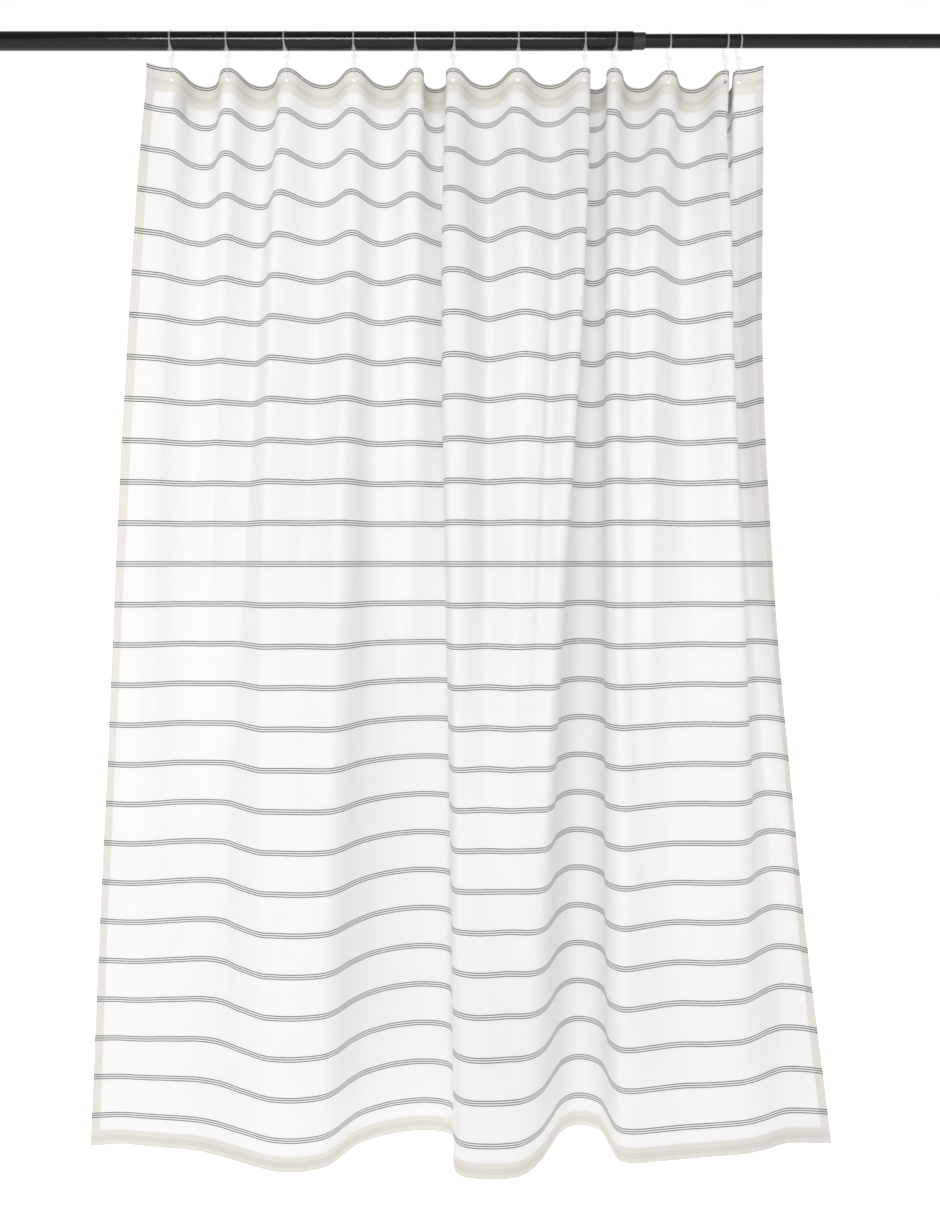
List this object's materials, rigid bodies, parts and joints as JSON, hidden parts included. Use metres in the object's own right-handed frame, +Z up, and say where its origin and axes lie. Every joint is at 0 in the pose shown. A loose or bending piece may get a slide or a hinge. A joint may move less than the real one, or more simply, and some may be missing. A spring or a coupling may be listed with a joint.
{
  "type": "shower curtain",
  "caption": "Semi-sheer white fabric shower curtain with fine dashed stripes, gathered by clear hooks on a black telescopic tension rod.",
  "frame": {"origin": "centre of the left wall pad's outer face, on the rod's axis", "axes": "+X along the rod from the left wall to the right wall, +Z up, +Y away from the room towards the tub; the curtain hangs along -Z"},
  "size_m": [1.84, 0.2093, 2.0824],
  "materials": {
    "rod_black": "satin",
    "collar_black": "satin",
    "cap_black": "satin",
    "pad_rubber": "matte",
    "lock_plastic": "satin",
    "hook_clear": "gloss",
    "curtain_cotton": "matte",
    "label_satin": "satin"
  },
  "bodies": {
    "rod": {"rod_outer_tube": "rod_black", "collar_bush": "collar_black", "left_end_cap": "cap_black", "left_wall_pad": "pad_rubber"},
    "telescope": {"rod_inner_tube": "rod_black", "lock_core": "lock_plastic", "right_end_cap": "cap_black", "right_wall_pad": "pad_rubber"},
    "cam": {"lock_cam": "lock_plastic"},
    "curtain": {"curtain_panel": "curtain_cotton", "care_label": "label_satin", "hook_12": "hook_clear"},
    "hook_01_slider": {"hook_01": "hook_clear"},
    "hook_02_slider": {"hook_02": "hook_clear"},
    "hook_03_slider": {"hook_03": "hook_clear"},
    "hook_04_slider": {"hook_04": "hook_clear"},
    "hook_05_slider": {"hook_05": "hook_clear"},
    "hook_06_slider": {"hook_06": "hook_clear"},
    "hook_07_slider": {"hook_07": "hook_clear"},
    "hook_08_slider": {"hook_08": "hook_clear"},
    "hook_09_slider": {"hook_09": "hook_clear"},
    "hook_10_slider": {"hook_10": "hook_clear"},
    "hook_11_slider": {"hook_11": "hook_clear"}
  },
  "joints": [
    {"name": "telescope_slide", "type": "slide", "parent": "rod", "child": "telescope", "axis": [1, 0, 0], "range_m": [-0.25, 0.15]},
    {"name": "cam_turn", "type": "hinge", "parent": "telescope", "child": "cam", "pos_m": [0.94, 0, 0.0015], "axis": [1, 0, 0], "range_deg": [0, 25]},
    {"name": "curtain_swing", "type": "hinge", "parent": "rod", "child": "curtain", "pos_m": [0, 0, 0], "axis": [1, 0, 0], "range_deg": [-20, 20]},
    {"name": "draw", "type": "slide", "parent": "curtain", "child": "hook_01_slider", "axis": [1, 0, 0], "range_m": [0, 0.4644], "deforming": ["curtain_panel", "care_label"]},
    {"name": "hook_02_slide", "type": "slide", "parent": "curtain", "child": "hook_02_slider", "axis": [1, 0, 0], "range_m": [0, 0.4185]},
    {"name": "hook_03_slide", "type": "slide", "parent": "curtain", "child": "hook_03_slider", "axis": [1, 0, 0], "range_m": [0, 0.37035]},
    {"name": "hook_04_slide", "type": "slide", "parent": "curtain", "child": "hook_04_slider", "axis": [1, 0, 0], "range_m": [0, 0.315]},
    {"name": "hook_05_slide", "type": "slide", "parent": "curtain", "child": "hook_05_slider", "axis": [1, 0, 0], "range_m": [0, 0.26415]},
    {"name": "hook_06_slide", "type": "slide", "parent": "curtain", "child": "hook_06_slider", "axis": [1, 0, 0], "range_m": [0, 0.234]},
    {"name": "hook_07_slide", "type": "slide", "parent": "curtain", "child": "hook_07_slider", "axis": [1, 0, 0], "range_m": [0, 0.1809]},
    {"name": "hook_08_slide", "type": "slide", "parent": "curtain", "child": "hook_08_slider", "axis": [1, 0, 0], "range_m": [0, 0.126]},
    {"name": "hook_09_slide", "type": "slide", "parent": "curtain", "child": "hook_09_slider", "axis": [1, 0, 0], "range_m": [0, 0.10215]},
    {"name": "hook_10_slide", "type": "slide", "parent": "curtain", "child": "hook_10_slider", "axis": [1, 0, 0], "range_m": [0, 0.05715]},
    {"name": "hook_11_slide", "type": "slide", "parent": "curtain", "child": "hook_11_slider", "axis": [1, 0, 0], "range_m": [0, 0.0108]}
  ],
  "couplings": [
    {"joint": "hook_02_slide", "follows": "draw", "ratio": 0.90116},
    {"joint": "hook_03_slide", "follows": "draw", "ratio": 0.79748},
    {"joint": "hook_04_slide", "follows": "draw", "ratio": 0.67829},
    {"joint": "hook_05_slide", "follows": "draw", "ratio": 0.5688},
    {"joint": "hook_06_slide", "follows": "draw", "ratio": 0.50388},
    {"joint": "hook_07_slide", "follows": "draw", "ratio": 0.38954},
    {"joint": "hook_08_slide", "follows": "draw", "ratio": 0.27132},
    {"joint": "hook_09_slide", "follows": "draw", "ratio": 0.21996},
    {"joint": "hook_10_slide", "follows": "draw", "ratio": 0.12306},
    {"joint": "hook_11_slide", "follows": "draw", "ratio": 0.023256}
  ]
}
